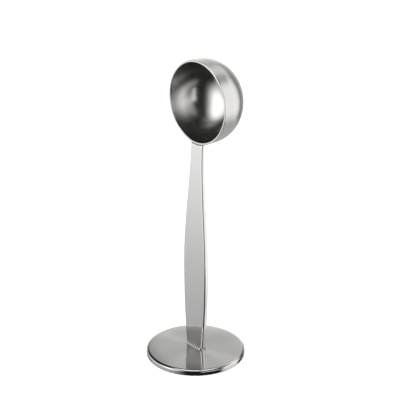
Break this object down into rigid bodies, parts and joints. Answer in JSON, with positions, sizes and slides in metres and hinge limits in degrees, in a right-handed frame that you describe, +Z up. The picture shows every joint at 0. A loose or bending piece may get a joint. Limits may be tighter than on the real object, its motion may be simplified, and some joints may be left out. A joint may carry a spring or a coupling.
{
  "type": "coffee scoop",
  "caption": "Stainless steel coffee scoop with a round domed bowl on a flat tapered handle, standing on a round tamper disc that presses the grounds.",
  "frame": {"origin": "centre of the tamper disc's flat underside, where the scoop stands", "axes": "+Z up along the handle, towards the bowl; the bowl opens towards -Y; X across the strap's width"},
  "size_m": [0.051, 0.051, 0.1551],
  "materials": {
    "satin_steel": "satin, fine circular brushing round the bowl's axis",
    "polished_steel": "mirror polished, with fine hairlines",
    "turned_steel": "polished over fine concentric turning",
    "weld_steel": "polished weld bead"
  },
  "bodies": {
    "root": {"scoop_bowl": "satin_steel", "handle_strap": "polished_steel", "tamper_disc": "turned_steel", "bowl_weld": "weld_steel", "base_weld": "weld_steel"}
  },
  "joints": []
}
